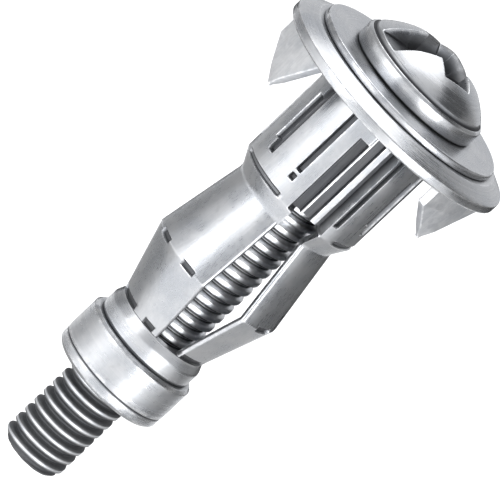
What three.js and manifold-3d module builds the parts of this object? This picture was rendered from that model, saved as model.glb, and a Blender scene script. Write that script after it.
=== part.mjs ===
// Hollow-wall anchor, M6 x 45: a machine screw with a washer, and a steel sleeve whose three legs
// fold out behind the wall when the screw draws the captive nut forward.
// Millimetres. +Z runs along the screw and out of the wall, and z = 0 is the wall's face.
import * as THREE from 'three';
import { mergeVertices } from 'three/addons/utils/BufferGeometryUtils.js';
import Module from 'manifold-3d';

const wasm = await Module();
wasm.setup();

// Driving dimensions
const DEG = THREE.MathUtils.degToRad(1);
const TURN_FACETS = 60;
const LEG_FACETS = 12;
const RUNNING_GAP = 0.02;           // between faces that turn or rest on each other
const CREASE_GAP = 0.3;             // between two panels at a crease
const COPIES = 3;                   // legs, windows and spurs round the axis

const SHEET = 0.7;                  // thickness of the sleeve's steel
const LEG_FROM = -130.5;            // directions of the first leg, window and spur, in degrees
const WINDOW_FROM = LEG_FROM + 180 / COPIES;
const SPUR_FROM = -147;

const FLANGE = { radius: 11.6, rim: 0.85, topRadius: 10, height: 1.65, hole: 3.3 };
const SPUR = { innerWall: 9.55, thickness: 0.8, width: 8, shoulder: 1.8, length: 4.9, root: 0.3 };
const WASHER = { radius: 9.5, hole: 3.3, thickness: 0.65, edge: 0.15 };

const NECK = { radius: 6, top: 0.25, foot: -10.84, channelFoot: -10.3, waistRadius: 5.17, waist: -12.2 };
const NECK_SEAT_GAP = 0.1;          // round the neck's top, where it enters the flange's underside
const CHANNEL = { width: 3.1, depth: 0.9, wall: 0.6 };
const WINDOW_WIDTH = 2.7;           // at the waist, where the neck's three tongues begin

const KNEE = { z: -20.2, radius: 6.55, halfAngle: 40.5 };
const WAIST = { z: NECK.waist, radius: NECK.waistRadius, halfAngle: 45 };
const FOOT = { z: -26.6, radius: 4.5, halfAngle: 45 };

// The three creases of a leg, as distances of their axes from the screw's axis
const HINGE_REACH = 6.5;            // from the knee crease to the root crease, and to the foot crease
const ROOT_CREASE = { z: KNEE.z + HINGE_REACH, radius: 4.7 };
const KNEE_CREASE = { z: KNEE.z, radius: 4.8 };
const FOOT_CREASE = { z: KNEE.z - HINGE_REACH, radius: 4.7 };
const FOLD = 65;                    // degrees that each panel turns when the anchor is set
const FOLD_SPARE = 2;

const COLLAR = { radius: 4.85, shoulder: -27.6, foot: -28.95, hole: 3.6 };
const NUT = { radius: 5.43, top: COLLAR.foot, bottom: -33.5, hole: 3.15, edge: 0.3 };

const SCREW = { radius: 3, tip: -42.7, tipChamfer: 0.7 };
const HEAD = { radius: 6.4, side: 1.4, underCut: 0.25, domeRadius: 8.3 };
const SLOT = { width: 2.8, depth: 2.3, direction: -140 };
const CROSS = { width: 3.1, span: 8.4, depth: 3.1, footSpan: 3.6 };

// Finishes
const zincSheet = new THREE.MeshStandardMaterial({ color: 0xd2d4d6, roughness: 0.34, metalness: 0.9 });
const zincPlate = new THREE.MeshStandardMaterial({ color: 0xc6c9cc, roughness: 0.3, metalness: 0.9 });
const steelThread = new THREE.MeshStandardMaterial({ color: 0xb9bcc0, roughness: 0.38, metalness: 0.9 });

// A three.js geometry as a manifold solid, with its shared corners merged
function solidOf(geometry) {
  const bare = geometry.clone();
  bare.deleteAttribute('normal');
  bare.deleteAttribute('uv');
  const welded = mergeVertices(bare, 1e-4);
  const corners = Array.from(welded.index.array);
  const triVerts = [];
  for (let i = 0; i < corners.length; i += 3) {
    const [a, b, c] = corners.slice(i, i + 3);
    if (a !== b && b !== c && c !== a) triVerts.push(a, b, c);
  }
  const vertProperties = new Float32Array(welded.attributes.position.array);
  return new wasm.Manifold(new wasm.Mesh({ numProp: 3, vertProperties, triVerts: new Uint32Array(triVerts) }));
}

// A manifold solid as a three.js geometry
function geometryOf(solid) {
  const { vertProperties, triVerts } = solid.getMesh();
  const geometry = new THREE.BufferGeometry();
  geometry.setAttribute('position', new THREE.BufferAttribute(vertProperties, 3));
  geometry.setIndex(new THREE.BufferAttribute(triVerts, 1));
  geometry.computeVertexNormals();
  return geometry;
}

// A body of revolution about Z from [radius, z] pairs, walked upward on the outside
function turned(profile) {
  const points = profile.map(([radius, z]) => new THREE.Vector2(radius, z));
  return new THREE.LatheGeometry(points, TURN_FACETS).rotateX(Math.PI / 2);
}

// A prism whose outline lies in the plane of one direction and Z, and which is wide across that plane
function radialPrism(outline, width, direction) {
  const shape = new THREE.Shape(outline.map(([radius, z]) => new THREE.Vector2(radius, z)));
  return new THREE.ExtrudeGeometry(shape, { depth: width, bevelEnabled: false })
    .translate(0, 0, -width / 2)
    .rotateX(Math.PI / 2)
    .rotateZ(direction * DEG);
}

// A prism whose outline faces outward in one direction: [across, z] pairs, from one radius outward
function facingPrism(outline, innerRadius, thickness, direction) {
  const shape = new THREE.Shape(outline.map(([across, z]) => new THREE.Vector2(across, z)));
  return new THREE.ExtrudeGeometry(shape, { depth: thickness, bevelEnabled: false })
    .rotateX(Math.PI / 2)
    .rotateZ(Math.PI / 2)
    .translate(innerRadius, 0, 0)
    .rotateZ(direction * DEG);
}

function blockFrom(innerRadius, outerRadius, width, bottom, top, direction) {
  return new THREE.BoxGeometry(outerRadius - innerRadius, width, top - bottom)
    .translate((innerRadius + outerRadius) / 2, 0, (bottom + top) / 2)
    .rotateZ(direction * DEG);
}

function directions(first) {
  return Array.from({ length: COPIES }, (_, i) => first + i * 360 / COPIES);
}

// The wedge that leaves room for two panels to turn about a crease: outward or inward of its axis
function creaseWedge(crease, side, openAngle, direction) {
  const reach = 3;
  const rise = reach * Math.tan(openAngle * DEG);
  const outline = [
    [crease.radius, crease.z],
    [crease.radius + side * reach, crease.z - rise],
    [crease.radius + side * reach, crease.z + rise],
  ];
  return solidOf(radialPrism(outline, 2 * KNEE.radius, direction));
}

// Radius and half-angle of the legs at a height: straight lines between waist, knee and foot
function legSection(z) {
  const [high, low] = z > KNEE.z ? [WAIST, KNEE] : [KNEE, FOOT];
  const along = (key) => THREE.MathUtils.mapLinear(z, high.z, low.z, high[key], low[key]);
  return { z, radius: along('radius'), halfAngle: along('halfAngle') };
}

// One curved panel of a leg between two heights, as a closed shell
function legPanel(top, bottom, direction) {
  const rows = [legSection(bottom), legSection(top)];
  const position = [];
  for (const { z, radius, halfAngle } of rows) {
    for (const wall of [radius, radius - SHEET]) {
      for (let k = 0; k <= LEG_FACETS; k += 1) {
        const angle = (direction + THREE.MathUtils.lerp(-halfAngle, halfAngle, k / LEG_FACETS)) * DEG;
        position.push(wall * Math.cos(angle), wall * Math.sin(angle), z);
      }
    }
  }
  const corner = (row, wall, k) => (2 * row + wall) * (LEG_FACETS + 1) + k;
  const index = [];
  const quad = (a, b, c, d) => index.push(a, b, c, a, c, d);
  for (let k = 0; k < LEG_FACETS; k += 1) {
    quad(corner(0, 0, k), corner(0, 0, k + 1), corner(1, 0, k + 1), corner(1, 0, k));
    quad(corner(0, 1, k + 1), corner(0, 1, k), corner(1, 1, k), corner(1, 1, k + 1));
    quad(corner(0, 0, k + 1), corner(0, 0, k), corner(0, 1, k), corner(0, 1, k + 1));
    quad(corner(1, 0, k), corner(1, 0, k + 1), corner(1, 1, k + 1), corner(1, 1, k));
  }
  quad(corner(0, 0, 0), corner(1, 0, 0), corner(1, 1, 0), corner(0, 1, 0));
  quad(corner(1, 0, LEG_FACETS), corner(0, 0, LEG_FACETS), corner(0, 1, LEG_FACETS), corner(1, 1, LEG_FACETS));
  const geometry = new THREE.BufferGeometry();
  geometry.setAttribute('position', new THREE.Float32BufferAttribute(position, 3));
  geometry.setIndex(index);
  return geometry;
}

// The flange: a bevelled disc with a seat for the neck in its underside, and three flat spurs bent
// down from it, which bite into the wall and stop the sleeve turning. One side of each spur has a
// shoulder, and the other slopes all the way.
function spurredFlange() {
  const seatRadius = NECK.radius + NECK_SEAT_GAP;
  let flange = solidOf(turned([
    [FLANGE.hole, NECK.top],
    [seatRadius, NECK.top],
    [seatRadius, 0],
    [FLANGE.radius, 0],
    [FLANGE.radius, FLANGE.rim],
    [FLANGE.topRadius, FLANGE.height],
    [FLANGE.hole, FLANGE.height],
    [FLANGE.hole, NECK.top],
  ]));
  const outline = [
    [-SPUR.width / 2, SPUR.root],
    [-SPUR.width / 2, -SPUR.shoulder],
    [0, -SPUR.length],
    [SPUR.width / 2, 0],
    [SPUR.width / 2, SPUR.root],
  ];
  for (const direction of directions(SPUR_FROM)) {
    flange = flange.add(solidOf(facingPrism(outline, SPUR.innerWall, SPUR.thickness, direction)));
  }
  return geometryOf(flange);
}

// The neck: a tube with three pressed channels, a cone down to the waist, and three tongues
// between the windows that end at the legs' root creases
function neck() {
  const tongueEnd = ROOT_CREASE.z + CREASE_GAP / 2;
  const endRadius = legSection(tongueEnd).radius;
  let tube = solidOf(turned([
    [endRadius - SHEET, tongueEnd],
    [endRadius, tongueEnd],
    [NECK.waistRadius, NECK.waist],
    [NECK.radius, NECK.foot],
    [NECK.radius, NECK.top],
    [NECK.radius - SHEET, NECK.top],
    [NECK.radius - SHEET, NECK.foot],
    [NECK.waistRadius - SHEET, NECK.waist],
    [endRadius - SHEET, tongueEnd],
  ]));
  const floor = NECK.radius - CHANNEL.depth;
  for (const direction of directions(WINDOW_FROM)) {
    const ribWidth = CHANNEL.width + 2 * CHANNEL.wall;
    const rib = blockFrom(
      floor - CHANNEL.wall, NECK.radius - SHEET / 2, ribWidth, NECK.channelFoot, NECK.top, direction,
    );
    const channel = blockFrom(floor, NECK.radius + 1, CHANNEL.width, NECK.channelFoot - 1, 1, direction);
    const window = blockFrom(1, NECK.radius + 1, WINDOW_WIDTH, tongueEnd - 1, NECK.channelFoot, direction);
    tube = tube.add(solidOf(rib)).subtract(solidOf(channel)).subtract(solidOf(window));
  }
  for (const direction of directions(LEG_FROM)) {
    tube = tube.subtract(creaseWedge(ROOT_CREASE, 1, (FOLD + FOLD_SPARE) / 2, direction));
  }
  return geometryOf(tube);
}

function upperLeg(direction) {
  const panel = legPanel(ROOT_CREASE.z - CREASE_GAP / 2, KNEE.z + CREASE_GAP / 2, direction);
  return geometryOf(solidOf(panel)
    .subtract(creaseWedge(ROOT_CREASE, 1, (FOLD + FOLD_SPARE) / 2, direction))
    .subtract(creaseWedge(KNEE_CREASE, -1, FOLD + FOLD_SPARE, direction)));
}

function lowerLeg(direction) {
  const panel = legPanel(KNEE.z - CREASE_GAP / 2, FOOT_CREASE.z + CREASE_GAP / 2, direction);
  return geometryOf(solidOf(panel).subtract(creaseWedge(KNEE_CREASE, -1, FOLD + FOLD_SPARE, direction)));
}

// The collar that the three feet join, rolled over the front of the nut
function rearCollar() {
  const top = FOOT_CREASE.z - CREASE_GAP / 2;
  const shoulder = new THREE.QuadraticBezierCurve(
    new THREE.Vector2(COLLAR.radius, COLLAR.shoulder),
    new THREE.Vector2(COLLAR.radius, top - 0.1),
    new THREE.Vector2(FOOT.radius - 0.25, top),
  );
  return turned([
    [COLLAR.hole, COLLAR.foot],
    [COLLAR.radius, COLLAR.foot],
    ...shoulder.getPoints(6).map((point) => [point.x, point.y]),
    [COLLAR.hole, top],
    [COLLAR.hole, COLLAR.foot],
  ]);
}

function nut() {
  return turned([
    [NUT.hole, NUT.bottom],
    [NUT.radius - NUT.edge, NUT.bottom],
    [NUT.radius, NUT.bottom + NUT.edge],
    [NUT.radius, NUT.top],
    [NUT.hole, NUT.top],
    [NUT.hole, NUT.bottom],
  ]);
}

function washer() {
  const bottom = FLANGE.height + RUNNING_GAP;
  const top = bottom + WASHER.thickness;
  return turned([
    [WASHER.hole, bottom],
    [WASHER.radius, bottom],
    [WASHER.radius, top - WASHER.edge],
    [WASHER.radius - WASHER.edge, top],
    [WASHER.hole, top],
    [WASHER.hole, bottom],
  ]);
}

// The screw: a pan head whose recess takes a flat or a cross-headed driver, and a plain shank
function screw() {
  const seat = FLANGE.height + WASHER.thickness + 2 * RUNNING_GAP;
  const domeFoot = seat + HEAD.side;
  const domeCentre = domeFoot - Math.sqrt(HEAD.domeRadius ** 2 - HEAD.radius ** 2);
  const crown = domeCentre + HEAD.domeRadius;
  const dome = [];
  const domeSteps = 8;
  for (let i = 0; i <= domeSteps; i += 1) {
    const radius = HEAD.radius * (1 - i / domeSteps);
    dome.push([radius, domeCentre + Math.sqrt(HEAD.domeRadius ** 2 - radius ** 2)]);
  }
  const blank = solidOf(turned([
    [0, SCREW.tip],
    [SCREW.radius - SCREW.tipChamfer, SCREW.tip],
    [SCREW.radius, SCREW.tip + SCREW.tipChamfer],
    [SCREW.radius, seat],
    [HEAD.radius - HEAD.underCut, seat],
    [HEAD.radius, seat + HEAD.underCut],
    ...dome,
  ]));

  const turnedTo = (geometry, angle) => solidOf(geometry.rotateZ(angle * DEG));
  const slot = new THREE.BoxGeometry(2 * HEAD.radius + 2, SLOT.width, 2 * SLOT.depth).translate(0, 0, crown);
  const armOutline = new THREE.Shape([
    new THREE.Vector2(-CROSS.footSpan / 2, crown - CROSS.depth),
    new THREE.Vector2(CROSS.footSpan / 2, crown - CROSS.depth),
    new THREE.Vector2(CROSS.span / 2, crown),
    new THREE.Vector2(-CROSS.span / 2, crown),
  ]);
  const arm = new THREE.ExtrudeGeometry(armOutline, { depth: CROSS.width, bevelEnabled: false })
    .translate(0, 0, -CROSS.width / 2)
    .rotateX(Math.PI / 2);
  return geometryOf(blank
    .subtract(turnedTo(slot, SLOT.direction))
    .subtract(turnedTo(arm.clone(), SLOT.direction))
    .subtract(turnedTo(arm.clone(), SLOT.direction + 90)));
}

const anchor = new THREE.Group();

function addPiece(name, geometry, material) {
  const piece = new THREE.Mesh(geometry, material);
  piece.name = name;
  anchor.add(piece);
}

addPiece('spurred_flange', spurredFlange(), zincSheet);
addPiece('neck', neck(), zincSheet);
directions(LEG_FROM).forEach((direction, i) => {
  addPiece(`upper_leg_${i + 1}`, upperLeg(direction), zincSheet);
  addPiece(`lower_leg_${i + 1}`, lowerLeg(direction), zincSheet);
});
addPiece('rear_collar', rearCollar(), zincSheet);
addPiece('nut', nut(), zincPlate);
addPiece('washer', washer(), zincPlate);
addPiece('screw', screw(), steelThread);

export default anchor;
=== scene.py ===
"""Looks of the hollow-wall anchor: fine meshes and zinc-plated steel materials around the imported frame.

Lengths are millimetres until a mesh is made. Directions are degrees about +Z, counted from +X.
"""

import math

import bmesh
import bpy
import numpy as np
from mathutils import Matrix, Vector


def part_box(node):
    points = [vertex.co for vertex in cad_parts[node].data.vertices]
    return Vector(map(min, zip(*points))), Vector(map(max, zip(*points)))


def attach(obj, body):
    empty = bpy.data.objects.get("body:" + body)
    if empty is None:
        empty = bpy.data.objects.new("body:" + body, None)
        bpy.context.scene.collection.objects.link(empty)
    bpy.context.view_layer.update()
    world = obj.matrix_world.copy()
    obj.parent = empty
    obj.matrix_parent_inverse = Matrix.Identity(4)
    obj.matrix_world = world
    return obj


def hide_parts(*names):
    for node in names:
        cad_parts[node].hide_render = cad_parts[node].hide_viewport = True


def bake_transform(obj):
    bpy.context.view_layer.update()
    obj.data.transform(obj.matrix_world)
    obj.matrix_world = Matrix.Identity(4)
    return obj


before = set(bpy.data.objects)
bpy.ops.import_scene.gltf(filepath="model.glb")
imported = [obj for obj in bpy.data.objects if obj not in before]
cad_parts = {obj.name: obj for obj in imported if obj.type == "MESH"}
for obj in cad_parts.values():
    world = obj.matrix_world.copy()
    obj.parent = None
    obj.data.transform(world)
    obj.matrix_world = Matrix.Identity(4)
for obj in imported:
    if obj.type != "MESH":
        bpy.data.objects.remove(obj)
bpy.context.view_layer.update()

MM = 0.001
COPIES = 3
THIRD = 360 / COPIES
LEG_FROM = -130.5
WINDOW_FROM = LEG_FROM + THIRD / 2
SPUR_FROM = -147.0


def box_mm(node):
    low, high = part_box(node)
    return np.array(low) / MM, np.array(high) / MM


# ---------------------------------------------------------------- heights and radii from the frame
FLANGE_LOW, FLANGE_HIGH = box_mm("spurred_flange")
WASHER_LOW, WASHER_HIGH = box_mm("washer")
NUT_LOW, NUT_HIGH = box_mm("nut")
COLLAR_LOW, COLLAR_HIGH = box_mm("rear_collar")
FLANGE_R = FLANGE_HIGH[0]
FLANGE_TOP = FLANGE_HIGH[2]
SPUR_TIP = FLANGE_LOW[2]
NECK_TOP = box_mm("neck")[1][2]
SCREW_TIP = box_mm("screw")[0][2]
FLANGE_RIM = 0.85
FLANGE_TOP_R = 10.0
HOLE_R = 3.3                # through the flange and the washer
SPUR_OUTER = 10.35
SPUR_THICK = 0.8
SPUR_HALF_WIDTH = 4.0
SPUR_SHOULDER = -1.8
SPUR_ROOT = 0.3             # inside the flange
SPUR_POINT = 0.1            # half-width left at the point

NECK_R = 6.0
NECK_SEAT_R = 6.1
SHEET = 0.7
TUBE_END = -12.45           # where the neck's tongues become the legs' tops
LEG_MIDDLE = -16.9          # where a leg's upper piece meets its lower piece, which runs across the knee
LEG_END = -26.62
ROOT_Z = -13.7
KNEE_Z = -20.2
FOOT_Z = -26.6
WAIST_R, WAIST_Z = 5.17, -12.2
FOOT_R = 4.5
WINDOW_HALF_WIDTH = 1.35
SLEEVE_PROFILE = [(NECK_R, -8.0), (NECK_R, -10.7), (WAIST_R, WAIST_Z), (6.55, KNEE_Z), (FOOT_R, FOOT_Z),
                  (FOOT_R, -27.0)]
SLEEVE_FILLET = [0, 0.5, 0.7, 0.45, 0, 0]
LEG_HALF_ANGLE = [(WAIST_Z, 45.0), (KNEE_Z, 40.5), (FOOT_Z, 45.0)]

THREAD_PITCH = 1.1
THREAD_R = 3.0
THREAD_DEPTH = 0.5
THREAD_PHASE = 0.1
THREAD_TOP = 1.2            # the thread's core ends here, inside the head's shank
TIP_CHAMFER = 0.62
HEAD_SEAT = WASHER_HIGH[2] + 0.02
HEAD_R = 6.4
HEAD_SIDE = 1.4
DOME_R = 8.3
DOME_FOOT = HEAD_SEAT + HEAD_SIDE
DOME_CENTRE = DOME_FOOT - math.sqrt(DOME_R ** 2 - HEAD_R ** 2)
DOME_FROM, DOME_TO = 0.3, HEAD_R - 0.16     # radii between which the dome and recess are meshed
RIM_LINE = (5.9, 6.14)      # radii of the line round the dome
RIM_LINE_DEPTH = 0.16
HEAD_SHANK_R = 2.6
HEAD_SHANK_END = 0.9
SLOT_DIRECTION = -140.0
SLOT_HALF_WIDTH = 1.4
SLOT_DEPTH = 2.3
CROSS_HALF_WIDTH = 1.62
CROSS_DEPTH = 3.1
RECESS_SOFT = 0.11


def heading(turn, rise=0.0):
    """Unit vector, from angles in radians about +Z and above level."""
    flat = math.cos(rise)
    return Vector((flat * math.cos(turn), flat * math.sin(turn), math.sin(rise)))


# ---------------------------------------------------------------- profiles
def fillet(points, radii, steps=4, closed=True):
    """A polyline whose corners are rounded, each with its own radius."""
    count = len(points)
    out = []
    for i, (point, radius) in enumerate(zip(points, radii)):
        if radius <= 0 or (not closed and i in (0, count - 1)):
            out.append(tuple(point))
            continue
        p = np.array(point, float)
        a = np.array(points[i - 1], float) - p
        b = np.array(points[(i + 1) % count], float) - p
        la, lb = np.linalg.norm(a), np.linalg.norm(b)
        a, b = a / la, b / lb
        half = 0.5 * math.acos(np.clip(a @ b, -1, 1))
        reach = min(radius / math.tan(half), 0.49 * la, 0.49 * lb)
        real = reach * math.tan(half)
        centre = p + (a + b) / np.linalg.norm(a + b) * (real / math.sin(half))
        start, end = p + a * reach - centre, p + b * reach - centre
        sweep = math.atan2(start[0] * end[1] - start[1] * end[0], start @ end)
        for k in range(steps + 1):
            turn = sweep * k / steps
            c, s = math.cos(turn), math.sin(turn)
            spoke = np.array([c * start[0] - s * start[1], s * start[0] + c * start[1]])
            out.append(tuple(centre + spoke))
    return out


def refined(points, longest, closed=True):
    """The same line with no step longer than the given length."""
    out = []
    count = len(points)
    for i in range(count if closed else count - 1):
        a, b = np.array(points[i], float), np.array(points[(i + 1) % count], float)
        pieces = max(1, int(math.ceil(np.linalg.norm(b - a) / longest)))
        out += [tuple(a + (b - a) * k / pieces) for k in range(pieces)]
    if not closed:
        out.append(tuple(points[-1]))
    return out


def smooth(low, high, value):
    t = np.clip((np.asarray(value, float) - low) / (high - low), 0, 1)
    return t * t * (3 - 2 * t)


def band(low, high, soft, value):
    """1 between low and high, and 0 outside, with soft flanks."""
    return smooth(low - soft, low + soft, value) * (1 - smooth(high - soft, high + soft, value))


# ---------------------------------------------------------------- meshes
def store_masks(mesh, painted_shade, seams):
    """Stores how convex (+) or concave (-) the surface is at each vertex, and how much painted shade darkens
    it.

    At the heights in seams, where two pieces of one sheet meet, the cut ends don't count as edges.
    """
    count = len(mesh.vertices)
    co = np.empty(count * 3)
    mesh.vertices.foreach_get("co", co)
    co = co.reshape(-1, 3) / MM
    normal = np.empty(count * 3)
    mesh.vertex_normals.foreach_get("vector", normal)
    normal = normal.reshape(-1, 3)
    ends = np.empty(len(mesh.edges) * 2, dtype=np.int64)
    mesh.edges.foreach_get("vertices", ends)
    a, b = ends.reshape(-1, 2).T
    step = co[b] - co[a]
    length2 = np.maximum((step ** 2).sum(1), 1e-4)
    bend = np.zeros(count)
    links = np.zeros(count)
    np.add.at(bend, a, -2 * (normal[a] * step).sum(1) / length2)
    np.add.at(bend, b, 2 * (normal[b] * step).sum(1) / length2)
    np.add.at(links, a, 1)
    np.add.at(links, b, 1)
    bend = np.clip(bend / np.maximum(links, 1), -6, 6)
    for _ in range(2):
        total = np.zeros(count)
        np.add.at(total, a, bend[b])
        np.add.at(total, b, bend[a])
        bend = 0.5 * bend + 0.5 * total / np.maximum(links, 1)
    for height in seams:
        bend = bend * smooth(0.15, 0.45, np.abs(co[:, 2] - height))
    for name, values in (("edge_mask", bend), ("painted_shade", painted_shade(co) if painted_shade else np.zeros(count))):
        attribute = mesh.attributes.new(name, "FLOAT", "POINT")
        attribute.data.foreach_set("value", np.asarray(values, np.float32))


def add_piece(name, vertices, faces, material, slot, sharp=40, painted_shade=None, seams=()):
    mesh = bpy.data.meshes.new(name)
    mesh.from_pydata((np.asarray(vertices, float) * MM).tolist(), [], [list(map(int, f)) for f in faces])
    bm = bmesh.new()
    bm.from_mesh(mesh)
    bmesh.ops.remove_doubles(bm, verts=bm.verts, dist=2e-7)
    bmesh.ops.dissolve_degenerate(bm, edges=bm.edges, dist=1e-8)
    bmesh.ops.recalc_face_normals(bm, faces=bm.faces)
    bm.to_mesh(mesh)
    bm.free()
    mesh.shade_smooth()
    mesh.set_sharp_from_angle(angle=math.radians(sharp))
    store_masks(mesh, painted_shade, seams)
    mesh.materials.append(material)
    piece = bpy.data.objects.new(name, mesh)
    bpy.context.scene.collection.objects.link(piece)
    return piece


def ring_faces(rows, columns, first=0, close_rows=True):
    """Quads of a grid whose columns close on themselves, and whose rows may."""
    faces = []
    for i in range(rows if close_rows else rows - 1):
        for j in range(columns):
            a, b = i * columns, (i + 1) % rows * columns
            k = (j + 1) % columns
            faces.append((first + a + j, first + a + k, first + b + k, first + b + j))
    return faces


def ring(radius, z, angles):
    """Points round the axis at a height. radius and z are each one number, or one for every angle."""
    heights = np.broadcast_to(z, angles.shape)
    return np.column_stack([radius * np.cos(angles), radius * np.sin(angles), heights])


def lathe(profile, steps):
    """A body of revolution of a closed (radius, z) profile."""
    angles = np.arange(steps) * 2 * math.pi / steps
    return np.concatenate([ring(r, z, angles) for r, z in profile]), ring_faces(len(profile), steps)


def loft(rows):
    """A closed tube through loops of the same number of points, with a flat face at each end."""
    columns = len(rows[0])
    vertices = np.concatenate(rows)
    faces = ring_faces(len(rows), columns, close_rows=False)
    faces.append(list(range(columns))[::-1])
    faces.append(list(range((len(rows) - 1) * columns, len(rows) * columns)))
    return vertices, faces


# ---------------------------------------------------------------- materials
class Nodes:
    """Short calls for a node tree."""

    def __init__(self, tree):
        self.tree = tree

    def add(self, kind, **settings):
        node = self.tree.nodes.new(kind)
        for key, value in settings.items():
            setattr(node, key, value)
        return node

    def link(self, source, target):
        if hasattr(source, "outputs"):
            source = source.outputs[0]
        if isinstance(source, (int, float, tuple)):
            target.default_value = source
        else:
            self.tree.links.new(source, target)

    def math(self, operation, a, b=0.0, clamp=False):
        node = self.add("ShaderNodeMath", operation=operation, use_clamp=clamp)
        self.link(a, node.inputs[0])
        self.link(b, node.inputs[1])
        return node.outputs[0]

    def ramp(self, value, low, high, out_low=0.0, out_high=1.0):
        node = self.add("ShaderNodeMapRange", interpolation_type="SMOOTHSTEP")
        for socket, number in zip(node.inputs[1:5], (low, high, out_low, out_high)):
            socket.default_value = number
        self.link(value, node.inputs[0])
        return node.outputs[0]

    def mix(self, factor, a, b, blend="MIX"):
        node = self.add("ShaderNodeMix", data_type="RGBA", blend_type=blend)
        self.link(factor, node.inputs[0])
        self.link(a, node.inputs[6])
        self.link(b, node.inputs[7])
        return node.outputs[2]

    def noise(self, vector, scale, detail=4.0, rough=0.55):
        node = self.add("ShaderNodeTexNoise")
        node.inputs["Scale"].default_value = scale
        node.inputs["Detail"].default_value = detail
        node.inputs["Roughness"].default_value = rough
        self.link(vector, node.inputs["Vector"])
        return node.outputs["Fac"]

    def scaled(self, vector, by):
        node = self.add("ShaderNodeVectorMath", operation="MULTIPLY")
        self.link(vector, node.inputs[0])
        node.inputs[1].default_value = by
        return node.outputs[0]


# Near-black colour that the painted shade in hollows, creases and gaps darkens towards.
PAINTED_SHADE_COLOUR = (0.035, 0.036, 0.04, 1.0)


def shade(tone, by):
    return tuple(min(1.0, c * by) for c in tone) + (1.0,)


def zinc(name, tone, rough, marks, mark_depth=0.012, painted_shade=0.8, reach=1.0):
    """Zinc-plated steel. marks is the way the tool marks run: along the axis or round it.

    Painted shade darkens hollows, gaps narrower than about the reach, in millimetres, and the places each mesh
    marks, towards a near-black colour.
    """
    material = bpy.data.materials.new(name)
    material.use_nodes = True
    n = Nodes(material.node_tree)
    shader = material.node_tree.nodes["Principled BSDF"]
    place = n.scaled(n.add("ShaderNodeTexCoord").outputs["Object"], (1 / MM,) * 3)
    split = n.add("ShaderNodeSeparateXYZ")
    n.link(place, split.inputs[0])
    x, y, z = split.outputs
    if marks == "axial":
        along = n.scaled(place, (7.0, 7.0, 0.3))
        broad = n.scaled(place, (1.6, 1.6, 0.1))
    else:
        radius = n.math("SQRT", n.math("ADD", n.math("MULTIPLY", x, x), n.math("MULTIPLY", y, y)))
        turn = n.math("MULTIPLY", n.math("ARCTAN2", y, x), 0.12)
        merge = n.add("ShaderNodeCombineXYZ")
        for source, target in zip((radius, turn, z), merge.inputs):
            n.link(source, target)
        along = n.scaled(merge, (9.0, 5.0, 9.0))
        broad = n.scaled(merge, (2.2, 5.0, 2.2))
    lines = n.noise(along, 1.0, 5.0, 0.6)
    strokes = n.noise(broad, 1.0, 2.0, 0.5)
    cloud = n.noise(place, 0.33, 5.0, 0.6)
    patch = n.noise(place, 1.4, 4.0, 0.5)
    grain = n.noise(place, 11.0, 3.0, 0.6)

    mask = n.add("ShaderNodeAttribute", attribute_name="edge_mask").outputs["Fac"]
    worn = n.math("MULTIPLY", n.ramp(mask, 0.5, 2.6), n.ramp(patch, 0.38, 0.62), clamp=True)
    # Painted shade: concave spots, ambient occlusion within the reach and each mesh's stored shade darken the
    # base colour and roughen it.
    hollow = n.ramp(mask, -0.35, -2.2)
    occlusion = n.add("ShaderNodeAmbientOcclusion", samples=8)
    occlusion.inputs["Distance"].default_value = reach * MM
    shaded = n.math("SUBTRACT", 1.0, occlusion.outputs["AO"])
    painted_shade_mask = n.math("MAXIMUM", hollow, n.ramp(shaded, 0.25, 0.75))
    stored_painted_shade = n.add("ShaderNodeAttribute", attribute_name="painted_shade").outputs["Fac"]
    painted_shade_mask = n.math("MAXIMUM", painted_shade_mask, stored_painted_shade)
    painted_shade_amount = n.math("MULTIPLY", painted_shade_mask, painted_shade, clamp=True)

    light = shade(tone, 1.07)
    dark = tuple(c * f for c, f in zip(tone, (0.83, 0.85, 0.88))) + (1.0,)
    plated = n.mix(n.ramp(cloud, 0.34, 0.66), dark, light)
    plated = n.mix(n.ramp(lines, 0.3, 0.75, 0.0, 0.35), plated, dark)
    stained = n.mix(n.ramp(patch, 0.58, 0.74, 0.0, 0.28), plated, shade(tone, 0.72))
    bright = n.mix(worn, stained, shade(tone, 1.35))
    # The painted shade is mixed over the plated tone here.
    n.link(n.mix(painted_shade_amount, bright, PAINTED_SHADE_COLOUR), shader.inputs["Base Color"])

    gloss = n.math("ADD", n.ramp(lines, 0.25, 0.75, rough - 0.05, rough + 0.08),
                   n.ramp(cloud, 0.3, 0.7, -0.03, 0.05))
    gloss = n.math("SUBTRACT", gloss, n.math("MULTIPLY", worn, 0.1))
    n.link(n.math("ADD", gloss, n.math("MULTIPLY", painted_shade_amount, 0.35), clamp=True), shader.inputs["Roughness"])
    shader.inputs["Metallic"].default_value = 1.0

    height = n.math("ADD", n.math("MULTIPLY", lines, 0.6), n.math("MULTIPLY", strokes, 0.9))
    height = n.math("ADD", height, n.math("MULTIPLY", grain, 0.25))
    height = n.math("ADD", height, n.ramp(patch, 0.64, 0.74, 0.0, -0.35))
    bump = n.add("ShaderNodeBump")
    bump.inputs["Strength"].default_value = 0.8
    bump.inputs["Distance"].default_value = mark_depth * MM
    n.link(height, bump.inputs["Height"])
    n.link(bump, shader.inputs["Normal"])
    return material


SHEET_TONE = (0.46, 0.465, 0.475)
SHEET_AXIAL = zinc("zinc_sheet_drawn", SHEET_TONE, 0.29, "axial")
SHEET_ROUND = zinc("zinc_sheet_pressed", SHEET_TONE, 0.27, "round")
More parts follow.
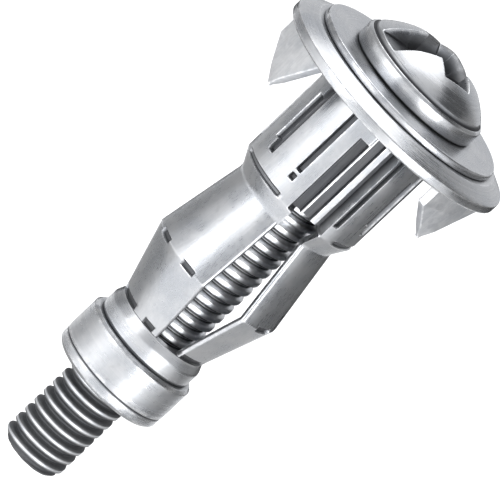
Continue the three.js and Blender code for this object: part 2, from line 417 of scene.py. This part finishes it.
# The spurs are the flange's own sheet, given a lighter tone as painted light.
SPUR_ZINC_PAINTED_LIGHT = zinc("zinc_sheet_spur_painted_light", (0.64, 0.645, 0.655), 0.46, "axial", 0.008)
NUT_ZINC = zinc("zinc_turned", (0.45, 0.455, 0.465), 0.29, "round", 0.016)
WASHER_ZINC = zinc("zinc_stamped", (0.43, 0.436, 0.45), 0.26, "round")
# Strong painted shade in the head's recess and in the line round the dome.
HEAD_ZINC = zinc("zinc_forged", SHEET_TONE, 0.25, "round", 0.008, 0.95)
# The thread's light tone is painted light, brightening it where the sleeve shades it; strong painted shade
# with a short reach darkens its valleys.
THREAD_ZINC_PAINTED_LIGHT = zinc("zinc_rolled_painted_light", (0.78, 0.785, 0.795), 0.38, "round", 0.010, 0.95, 0.1)


# ---------------------------------------------------------------- flange with its spurs
def flange_disc():
    corners = [(HOLE_R, NECK_TOP), (NECK_SEAT_R, NECK_TOP), (NECK_SEAT_R, 0), (FLANGE_R, 0),
               (FLANGE_R, FLANGE_RIM), (FLANGE_TOP_R, FLANGE_TOP), (HOLE_R, FLANGE_TOP)]
    profile = refined(fillet(corners, [0.05, 0, 0.05, 0.16, 0.16, 0.14, 0.1]), 0.5)
    return lathe(profile, 288)


def spur(direction):
    """A flat tab bent down from the flange, with a shoulder on one side, and thinner towards its point."""
    turn = math.radians(direction)
    heights = np.concatenate([np.linspace(SPUR_ROOT, SPUR_SHOULDER, 12),
                              np.linspace(SPUR_SHOULDER, SPUR_TIP, 32)[1:]])
    rows = []
    for z in heights:
        left = SPUR_HALF_WIDTH * min(1.0, (z - SPUR_TIP) / (SPUR_SHOULDER - SPUR_TIP))
        right = SPUR_HALF_WIDTH * min(1.0, (z - SPUR_TIP) / -SPUR_TIP)
        left, right = max(left, SPUR_POINT), max(right, SPUR_POINT)
        wall = SPUR_THICK * (1 - 0.5 * float(smooth(SPUR_TIP + 1.4, SPUR_TIP, z)))
        near, far = SPUR_OUTER - 0.5 * (SPUR_THICK + wall), SPUR_OUTER - 0.5 * (SPUR_THICK - wall)
        edge = min(0.16, right * 0.8)
        loop = fillet([(-left, near), (right, near), (right, far), (-left, far)], [edge] * 4, 3)
        rows.append(np.array([
            (out * math.cos(turn) - across * math.sin(turn), out * math.sin(turn) + across * math.cos(turn), z)
            for across, out in loop
        ]))
    return loft(rows)


# ---------------------------------------------------------------- neck
def sleeve_outline():
    return np.array(fillet(SLEEVE_PROFILE, SLEEVE_FILLET, 6, closed=False))


OUTLINE = sleeve_outline()


def sleeve_radius(z):
    return np.interp(-np.asarray(z, float), -OUTLINE[:, 1], OUTLINE[:, 0])


def leg_half_angle(z):
    heights, angles = zip(*LEG_HALF_ANGLE)
    return np.interp(-np.asarray(z, float), [-h for h in heights], angles)


# Grooves round one third of the neck, from a pleat's centre in millimetres round the neck:
# from, to, depth, painted shade, bottom end and top end
NECK_GROOVES = [
    (-2.04, -1.07, 0.95, 1.0, None, -2.3),
    (-1.07, -0.79, 0.38, 0.0, None, None),
    (-0.79, 0.20, 1.00, 1.0, None, None),
    (0.20, 0.92, 0.62, 0.3, None, None),
    (0.92, 1.58, 0.95, 1.0, None, None),
    (1.86, 2.34, 0.42, 1.0, -9.2, None),
    (-3.93, -3.42, 0.42, 1.0, -7.9, None),
    (-3.93, -3.42, 0.42, 1.0, -8.85, -8.35),
    (5.20, 5.95, 0.50, 1.0, -8.8, None),
    (4.68, 5.20, 0.40, 1.0, -7.75, -2.7),
]
PLEAT_END = -10.3           # the pleats run into the windows here
# The crease above each leg, darkened with painted shade: height, half-width, depth, and half-angle about the
# leg's centre
NECK_CREASE = (-10.5, 0.2, 0.24, 28.0)


def neck_relief(offset, z, soft=0.06):
    """Depth and painted shade of the neck's pleats and score lines, offset degrees from a pleat's centre."""
    across = offset * math.radians(1) * NECK_R
    depth = dark = 0.0
    for start, stop, deep, tone, bottom, top in NECK_GROOVES:
        part = band(start, stop, soft, across)
        if bottom is not None:
            part = part * smooth(bottom - 0.1, bottom + 0.1, z)
        if top is not None:
            part = part * (1 - smooth(top - 0.1, top + 0.1, z))
        depth = depth + deep * part
        dark = dark + tone * part
    above = smooth(PLEAT_END - 0.45, PLEAT_END - 0.05, z)
    height, half, deep, reach = NECK_CREASE
    from_leg = THIRD / 2 - np.abs(offset)
    line = band(-half, half, 0.07, z - height) * (1 - smooth(reach - 1.5, reach + 1.5, from_leg))
    return depth * above + deep * line, np.clip(dark * above + line, 0, 1)


def from_pleat(angle):
    """Degrees from the nearest pleat's centre."""
    return (angle - WINDOW_FROM + THIRD / 2) % THIRD - THIRD / 2


def neck_painted_shade(co):
    """Painted shade: dark in the outer skin's grooves, and darker and rougher on the inner skin."""
    radius = np.hypot(co[:, 0], co[:, 1])
    angle = np.degrees(np.arctan2(co[:, 1], co[:, 0]))
    depth, dark = neck_relief(from_pleat(angle), co[:, 2])
    sunk = sleeve_radius(co[:, 2]) - radius
    # The inner skin gets a fixed amount of painted shade.
    return np.where(sunk < depth + 0.1, dark * smooth(0.1, 0.3, sunk), 0.25)


def neck_tube():
    """The neck's outer skin down to the legs' tops, with its windows open, and an inner skin."""
    edges = {edge for groove in NECK_GROOVES for edge in groove[:2]}
    steps = (-0.1, -0.05, 0.0, 0.05, 0.1)
    fine = {math.degrees((edge + step) / NECK_R) for edge in edges for step in steps}
    kept = []
    for value in sorted(set(np.arange(-THIRD / 2, THIRD / 2, 2.0))
                        | {v for v in fine if -THIRD / 2 <= v < THIRD / 2}):
        if not kept or value - kept[-1] > 0.3:
            kept.append(value)
    window_half = math.degrees(WINDOW_HALF_WIDTH / WAIST_R)
    kept = [v for v in kept if min(abs(v - window_half), abs(v + window_half)) > 0.9]
    kept = sorted(kept + [-window_half, window_half])
    offsets = np.array(kept)
    angles = np.concatenate([WINDOW_FROM + THIRD * k + offsets for k in range(COPIES)])
    local = np.tile(offsets, COPIES)
    rows_z = np.concatenate([
        np.linspace(NECK_TOP, -1.8, 5), np.linspace(-2.1, -2.9, 17), np.linspace(-3.4, -7.2, 9),
        np.linspace(-7.5, PLEAT_END, 47), np.linspace(PLEAT_END - 0.04, -10.8, 12),
        np.linspace(-10.95, TUBE_END, 11),
    ])
    columns = len(angles)
    vertices = []
    for inner in (0, 1):
        for z in rows_z:
            base = sleeve_radius(z)
            if inner:
                pleat = band(-2.3, 1.85, 0.3, local * math.radians(1) * NECK_R)
                radius = base - SHEET - 1.0 * pleat * float(smooth(PLEAT_END - 0.5, PLEAT_END - 0.1, z))
            else:
                radius = base - neck_relief(local, np.full(columns, z))[0]
            vertices.append(ring(radius, z, np.radians(angles)))
    vertices = np.concatenate(vertices)
    rows = len(rows_z)
    window_row = int(np.argmin(np.abs(rows_z - PLEAT_END)))
    middle = np.array([(local[j] + local[(j + 1) % columns] if local[(j + 1) % columns] > local[j]
                        else THIRD) / 2 for j in range(columns)])
    open_column = np.abs(middle) < window_half
    faces = []
    for layer in (0, 1):
        start = layer * rows * columns
        for i in range(rows - 1):
            for j in range(columns):
                if i >= window_row and open_column[j]:
                    continue
                k = (j + 1) % columns
                quad = (start + i * columns + j, start + (i + 1) * columns + j,
                        start + (i + 1) * columns + k, start + i * columns + k)
                faces.append(quad if layer == 0 else quad[::-1])
    edge_use = {}
    for face in faces:
        if face[0] >= rows * columns or face[1] >= rows * columns:
            continue
        for a, b in zip(face, face[1:] + face[:1]):
            edge_use.setdefault(frozenset((a, b)), []).append((a, b))
    shift = rows * columns
    for uses in edge_use.values():
        if len(uses) == 1:
            a, b = uses[0]
            faces.append((b, a, a + shift, b + shift))
    return vertices, faces


# ---------------------------------------------------------------- legs
# Short score lines across the legs' creases: height, then from and to in degrees from a leg's centre
FOOT_SCORE_Z = -26.34
LEG_SCORES = [(KNEE_Z, -22.0, -6.0), (KNEE_Z, 15.0, 28.0),
              (FOOT_SCORE_Z, -48.0, 3.5), (FOOT_SCORE_Z, 22.0, 36.0)]
SCORE_HALF, SCORE_DEPTH = 0.24, 0.28


def leg_score(degrees, z):
    return sum(band(start, stop, 1.0, degrees) * band(-SCORE_HALF, SCORE_HALF, 0.07, z - height)
               for height, start, stop in LEG_SCORES)


def leg_section(z, direction, edge=0.22):
    """A closed loop round a leg at a height: a curved strip with rounded edges."""
    radius = float(sleeve_radius(z))
    span = math.radians(float(leg_half_angle(z))) * radius
    round_edge = [(0.0, edge), (0.25 * edge, 0.5 * edge), (0.5 * edge, 0.25 * edge), (edge, 0.0)]
    plain = np.linspace(-1, 1, 49)[1:-1] * (span - edge)
    outer = [(inset - span, depth) for inset, depth in round_edge]
    scores = [float(leg_score(math.degrees(across / radius), z)) for across in plain]
    outer += [(across, SCORE_DEPTH * score) for across, score in zip(plain, scores)]
    outer += [(span - inset, depth) for inset, depth in round_edge[::-1]]
    inner = [(inset - span, SHEET - depth) for inset, depth in round_edge]
    inner += [(across, SHEET) for across in plain]
    inner += [(span - inset, SHEET - depth) for inset, depth in round_edge[::-1]]
    points = []
    for across, depth in outer + inner[::-1]:
        angle = math.radians(direction) + across / radius
        points.append(((radius - depth) * math.cos(angle), (radius - depth) * math.sin(angle), z))
    return np.array(points)


def leg_painted_shade(direction):
    """Painted shade: dark in the score lines on the outside, and darker on the inside."""
    def painted_shade(co):
        radius = np.hypot(co[:, 0], co[:, 1])
        angle = (np.degrees(np.arctan2(co[:, 1], co[:, 0])) - direction + 180) % 360 - 180
        sunk = sleeve_radius(co[:, 2]) - radius
        return np.where(sunk < 0.45, leg_score(angle, co[:, 2]) * smooth(0.03, 0.12, sunk), 0.25)
    return painted_shade


def leg_strip(top, bottom, direction, fine):
    heights = [top]
    while heights[-1] > bottom + 1e-6:
        z = heights[-1]
        near = min(abs(z - f) for f in fine)
        heights.append(max(bottom, z - (0.06 if near < 0.6 else 0.2 if near < 2.4 else 0.5)))
    return loft([leg_section(z, direction) for z in heights])


# ---------------------------------------------------------------- turned pieces
def rear_collar_shell():
    bore, radius, low, top = 3.6, COLLAR_HIGH[0], COLLAR_LOW[2], LEG_END - 0.03
    corners = [(bore, low), (4.74, low), (radius, low + 0.28),
               (radius, -27.45), (FOOT_R, top), (bore, top)]
    return lathe(refined(fillet(corners, [0.1, 0.1, 0.15, 0.75, 0.05, 0.1], 6), 0.3), 192)


def nut_body():
    """A plain round nut with a seam line round it, a little above its lower end."""
    r, low, high = NUT_HIGH[0], NUT_LOW[2], NUT_HIGH[2]
    ledge = low + 1.1
    corners = [(3.1, low), (r - 0.35, low), (r - 0.05, low + 0.3), (r - 0.05, ledge - 0.12),
               (r - 0.16, ledge), (r, ledge + 0.12), (r, high - 0.25), (r - 0.25, high), (3.1, high)]
    return lathe(refined(fillet(corners, [0.3, 0.12, 0.12, 0.04, 0.04, 0.05, 0.1, 0.1, 0.1]), 0.4), 240)


def washer_ring():
    r, low, high = WASHER_HIGH[0], WASHER_LOW[2], WASHER_HIGH[2]
    corners = [(HOLE_R, low), (r, low), (r, high), (HOLE_R, high)]
    return lathe(refined(fillet(corners, [0.1, 0.1, 0.2, 0.14]), 0.4), 240)


# ---------------------------------------------------------------- screw
def thread_radius(phase):
    """Rounded crests and valleys over one pitch."""
    wave = 0.5 + 0.5 * np.cos(2 * math.pi * (phase - THREAD_PHASE))
    return THREAD_R - THREAD_DEPTH * (1 - smooth(0.08, 0.66, wave))


def thread_painted_shade(co):
    """Painted shade, dark on the tail but for each crest's middle; inside the sleeve, which shades it, only
    the valleys are darkened a little, as painted light.
    """
    turn = (co[:, 2] - SCREW_TIP) / THREAD_PITCH - np.arctan2(co[:, 1], co[:, 0]) / (2 * math.pi)
    from_crest = np.abs((turn - THREAD_PHASE + 0.5) % 1.0 - 0.5)
    inside = smooth(-33, -27, co[:, 2])
    tail_shade = 0.92 * smooth(0.02, 0.14, from_crest)
    window_shade = 0.12 * smooth(0.3, 0.42, from_crest)
    return tail_shade * (1 - inside) + window_shade * inside


def screw_thread():
    per_turn, per_pitch = 72, 12
    tip, top = SCREW_TIP, THREAD_TOP
    core = THREAD_R - THREAD_DEPTH
    turns = int(math.ceil((top - tip) / THREAD_PITCH)) + 6
    rows = turns * per_pitch
    index = np.arange(rows)
    vertices = []
    for j in range(per_turn):
        share = j / per_turn
        z = tip - 4 * THREAD_PITCH + index * THREAD_PITCH / per_pitch + share * THREAD_PITCH
        r = thread_radius(index / per_pitch)
        r = np.minimum(r, THREAD_R - TIP_CHAMFER + np.maximum(z - tip, 0))
        runout = smooth(top - 1.3, top, z)
        r = r * (1 - runout) + core * runout
        below, above = np.maximum(tip - z, 0), np.maximum(z - top, 0)
        r = np.where(below > 0, np.maximum(r - 1.2 * below, 0), r)
        r = np.where(above > 0, np.maximum(core - 1.2 * above, 0), r)
        angle = 2 * math.pi * share
        height = np.clip(z, tip, top)
        vertices.append(np.column_stack([r * math.cos(angle), r * math.sin(angle), height]))
    vertices = np.concatenate(vertices)
    faces = []
    for j in range(per_turn):
        k = (j + 1) % per_turn
        lift = per_pitch if k == 0 else 0
        for i in range(rows - 1 - lift):
            faces.append((j * rows + i, k * rows + i + lift, k * rows + i + 1 + lift, j * rows + i + 1))
    return vertices, faces


def recess_depth(x, y, crown_fall):
    """Depth of the slot and cross below the dome at a point in the recess's own axes."""
    slot = band(-SLOT_HALF_WIDTH, SLOT_HALF_WIDTH, RECESS_SOFT, y) * (SLOT_DEPTH - crown_fall)
    arms = 0.0
    for along, across in ((x, y), (y, x)):
        half = CROSS_HALF_WIDTH - 0.05 * np.abs(along)
        inside = smooth(half + RECESS_SOFT, half - RECESS_SOFT, np.abs(across))
        floor = CROSS_DEPTH - 1.25 * np.maximum(np.abs(along) - 1.8, 0)
        arms = np.maximum(arms, inside * np.maximum(floor - crown_fall, 0))
    return np.maximum(np.maximum(slot, arms), 0)


def rim_line(radius):
    """The line where the forging die leaves the head's side and the dome begins."""
    return band(*RIM_LINE, 0.05, radius)


def recess_painted_shade(co):
    """Painted shade: darker towards the bottom of the recess, and in the line round the dome."""
    radius = np.hypot(co[:, 0], co[:, 1])
    dome = DOME_CENTRE + np.sqrt(DOME_R ** 2 - np.minimum(radius, HEAD_R) ** 2)
    recess = 0.9 * smooth(0.2, 1.5, dome - co[:, 2]) * (radius < 5.8)
    return np.where(co[:, 2] > HEAD_SEAT + 0.5, np.maximum(recess, rim_line(radius)), 0)


def screw_head():
    steps = 600
    crown = DOME_CENTRE + DOME_R
    radii = np.linspace(DOME_FROM, DOME_TO, 145)
    angles = np.arange(steps) * 2 * math.pi / steps
    turn = angles - math.radians(SLOT_DIRECTION)
    vertices = [np.array([[0, 0, crown - CROSS_DEPTH]])]
    for r in radii:
        fall = DOME_R - math.sqrt(DOME_R ** 2 - r ** 2)
        sunk = recess_depth(r * np.cos(turn), r * np.sin(turn), fall) + RIM_LINE_DEPTH * rim_line(r)
        z = crown - fall - sunk
        vertices.append(ring(r, z, angles))
    rim_z = DOME_CENTRE + math.sqrt(DOME_R ** 2 - radii[-1] ** 2)
    corners = [(radii[-1], rim_z), (HEAD_R, DOME_FOOT), (HEAD_R, HEAD_SEAT), (HEAD_SHANK_R, HEAD_SEAT),
               (HEAD_SHANK_R, HEAD_SHANK_END)]
    side = fillet(corners, [0, 0.16, 0.22, 0, 0], closed=False)[1:]
    vertices += [ring(r, z, angles) for r, z in side]
    vertices.append(np.array([[0, 0, HEAD_SHANK_END]]))
    vertices = np.concatenate(vertices)
    rings = len(radii) + len(side)
    faces = ring_faces(rings, steps, 1, close_rows=False)
    last = 1 + rings * steps
    for j in range(steps):
        k = (j + 1) % steps
        faces.append((0, 1 + k, 1 + j))
        faces.append((last, last - steps + j, last - steps + k))
    return vertices, faces


# ---------------------------------------------------------------- assembling the pieces
def joined(*parts):
    vertices, faces, start = [], [], 0
    for part_vertices, part_faces in parts:
        vertices.append(part_vertices)
        faces += [tuple(i + start for i in face) for face in part_faces]
        start += len(part_vertices)
    return np.concatenate(vertices), faces


def place(name, shape, material, slot, body, *nodes, sharp=40, painted_shade=None):
    piece = add_piece(name, *shape, material, slot, sharp, painted_shade, seams=(TUBE_END,))
    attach(piece, body)
    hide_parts(*nodes)
    return piece


spurs = joined(*[spur(SPUR_FROM + THIRD * k) for k in range(COPIES)])
place("flange_disc", flange_disc(), SHEET_ROUND, "zinc_sheet", "sleeve", "spurred_flange")
place("flange_spurs", spurs, SPUR_ZINC_PAINTED_LIGHT, "zinc_sheet", "sleeve", "spurred_flange")
place("neck_tube", neck_tube(), SHEET_AXIAL, "zinc_sheet", "sleeve", "neck", sharp=50, painted_shade=neck_painted_shade)
place("rear_collar_shell", rear_collar_shell(), SHEET_ROUND, "zinc_sheet", "nut_end", "rear_collar")
place("nut_body", nut_body(), NUT_ZINC, "zinc_nut", "nut_end", "nut")
place("washer_ring", washer_ring(), WASHER_ZINC, "zinc_washer", "washer", "washer")
place("screw_thread", screw_thread(), THREAD_ZINC_PAINTED_LIGHT, "screw_steel", "screw", "screw",
      sharp=60, painted_shade=thread_painted_shade)
place("screw_head", screw_head(), HEAD_ZINC, "screw_steel", "screw", "screw",
      sharp=60, painted_shade=recess_painted_shade)

for number in range(1, COPIES + 1):
    direction = LEG_FROM + THIRD * (number - 1)
    root = leg_strip(TUBE_END, LEG_MIDDLE, direction, (ROOT_Z,))
    piece = add_piece(f"leg_root_{number}", *root, SHEET_AXIAL, "zinc_sheet", 40, leg_painted_shade(direction),
                      (TUBE_END, LEG_MIDDLE))
    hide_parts(f"upper_leg_{number}")
    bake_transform(piece)
    fold = leg_strip(LEG_MIDDLE, LEG_END, direction, (KNEE_Z, LEG_END))
    piece = add_piece(f"leg_fold_{number}", *fold, SHEET_AXIAL, "zinc_sheet", 40, leg_painted_shade(direction),
                      (LEG_MIDDLE, LEG_END))
    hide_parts(f"lower_leg_{number}")
    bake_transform(piece)


# ---------------------------------------------------------------- floor, light and camera
FLOOR_Z = -0.14


def plain_floor():
    mesh = bpy.data.meshes.new("studio_floor")
    bm = bmesh.new()
    bmesh.ops.create_circle(bm, cap_ends=True, segments=96, radius=2.6)
    bm.to_mesh(mesh)
    bm.free()
    material = bpy.data.materials.new("floor_white")
    material.use_nodes = True
    shader = material.node_tree.nodes["Principled BSDF"]
    shader.inputs["Base Color"].default_value = (0.9, 0.9, 0.9, 1)
    shader.inputs["Roughness"].default_value = 0.9
    shader.inputs["Specular IOR Level"].default_value = 0.1
    mesh.materials.append(material)
    floor = bpy.data.objects.new("studio_floor", mesh)
    floor.location = (0, 0, FLOOR_Z)
    bpy.context.scene.collection.objects.link(floor)


def facing(location, target):
    """Turn that points an object's -Z at the target."""
    return (Vector(target) - Vector(location)).to_track_quat("-Z", "Y").to_euler()


def softbox(name, azimuth, elevation, distance, size, power, seen=True, aim=(0, 0, -0.015)):
    """An area light round the object. Azimuth is counted from the front, -Y, toward +X."""
    a, e = math.radians(azimuth - 90), math.radians(elevation)
    light = bpy.data.lights.new(name, "AREA")
    light.shape = "RECTANGLE"
    light.size, light.size_y = size
    light.energy = power
    lamp = bpy.data.objects.new(name, light)
    lamp.location = Vector(aim) + distance * heading(a, e)
    lamp.rotation_euler = facing(lamp.location, aim)
    lamp.visible_camera = False
    lamp.visible_glossy = seen
    bpy.context.scene.collection.objects.link(lamp)
    return lamp


def glow(name, strength):
    material = bpy.data.materials.new(name)
    material.use_nodes = True
    shader = material.node_tree.nodes["Principled BSDF"]
    shader.inputs["Base Color"].default_value = (0, 0, 0, 1)
    shader.inputs["Specular IOR Level"].default_value = 0
    shader.inputs["Emission Color"].default_value = (1, 1, 1, 1)
    shader.inputs["Emission Strength"].default_value = strength
    return material


def reflection_only(plane):
    """Keeps a card out of the camera's sight and the diffuse light: only reflections see it."""
    plane.visible_camera = False
    plane.visible_diffuse = False
    plane.visible_shadow = False
    bpy.context.scene.collection.objects.link(plane)


def card(name, azimuth, distance, width, height, strength, base=0.001):
    """A standing card, from base above the floor. Its glow sets how grey the metal's edges look."""
    a = math.radians(azimuth - 90)
    w = width / 2
    mesh = bpy.data.meshes.new(name)
    mesh.from_pydata([(-w, 0, 0), (w, 0, 0), (w, 0, height), (-w, 0, height)], [], [(0, 1, 2, 3)])
    mesh.materials.append(glow(name, strength))
    plane = bpy.data.objects.new(name, mesh)
    plane.location = (distance * math.cos(a), distance * math.sin(a), FLOOR_Z + base)
    plane.rotation_euler = (0, 0, a + math.pi / 2)
    reflection_only(plane)


def flag(name, azimuth, elevation, distance, width, height, strength):
    """A hanging card that faces the object, which only reflections see."""
    a, e = math.radians(azimuth - 90), math.radians(elevation)
    w, h = width / 2, height / 2
    mesh = bpy.data.meshes.new(name)
    mesh.from_pydata([(-w, -h, 0), (w, -h, 0), (w, h, 0), (-w, h, 0)], [], [(0, 1, 2, 3)])
    mesh.materials.append(glow(name, strength))
    plane = bpy.data.objects.new(name, mesh)
    plane.location = distance * heading(a, e)
    plane.rotation_euler = facing(plane.location, (0, 0, 0))
    reflection_only(plane)


def low_card(name, start, stop, inner, outer, glow_material):
    """A sector of a ring just above the floor, which only reflections see."""
    angles = [math.radians(start - 90 + (stop - start) * k / 24) for k in range(25)]
    z = FLOOR_Z + 0.002
    points = [(r * math.cos(a), r * math.sin(a), z) for r in (inner, outer) for a in angles]
    mesh = bpy.data.meshes.new(name)
    mesh.from_pydata(points, [], [(k, k + 1, k + 26, k + 25) for k in range(24)])
    mesh.materials.append(glow_material)
    reflection_only(bpy.data.objects.new(name, mesh))


def sky():
    world = bpy.data.worlds.new("studio")
    world.use_nodes = True
    background = world.node_tree.nodes["Background"]
    background.inputs["Color"].default_value = (0.95, 0.96, 0.98, 1)
    background.inputs["Strength"].default_value = 0.9
    bpy.context.scene.world = world


def photo_camera():
    tilt, roll = math.radians(14.5), math.radians(43.5)
    side = Vector((1, 0, 0))
    rise = Vector((0, math.sin(tilt), math.cos(tilt)))
    toward = Vector((0, -math.cos(tilt), math.sin(tilt)))
    right = math.sin(roll) * side + math.cos(roll) * rise
    up = -math.cos(roll) * side + math.sin(roll) * rise
    target = Vector((-0.08, 0, -16.5)) * MM
    lens, sensor, width = 600.0, 36.0, 41.0 * MM
    data = bpy.data.cameras.new("camera")
    data.lens = lens
    data.sensor_width = sensor
    data.clip_start, data.clip_end = 0.05, 10
    camera = bpy.data.objects.new("camera", data)
    turn = Matrix((right, up, toward)).transposed().to_4x4()
    camera.matrix_world = Matrix.Translation(target + toward * width * lens / sensor) @ turn
    bpy.context.scene.collection.objects.link(camera)
    bpy.context.scene.camera = camera


plain_floor()
sky()
softbox("key", -44, 12, 0.6, (0.36, 0.55), 1.6)
softbox("fill", 41, -6, 0.5, (0.32, 0.3), 1.4)
softbox("top", -150, 66, 0.6, (0.45, 0.45), 1.3)
softbox("floor_light", 0, 89, 1.4, (2.6, 2.6), 26.0, seen=False)
card("card_right", 118, 0.36, 0.46, 0.12, 0.2)
card("card_right_high", 118, 0.36, 0.46, 0.38, 0.42, base=0.122)
card("card_left", -118, 0.40, 0.34, 0.5, 0.5)
card("card_back", 180, 0.40, 0.5, 0.12, 0.04)
flag("flag_right", 115, 52, 0.42, 0.36, 0.30, 0.14)
low_card("low_card_left", -180, -78, 0.03, 0.33, glow("low_glow_left", 0.5))
low_card("low_card_right", 50, 180, 0.03, 0.33, glow("low_glow_right", 0.72))
photo_camera()
bpy.context.scene.view_settings.view_transform = "Standard"
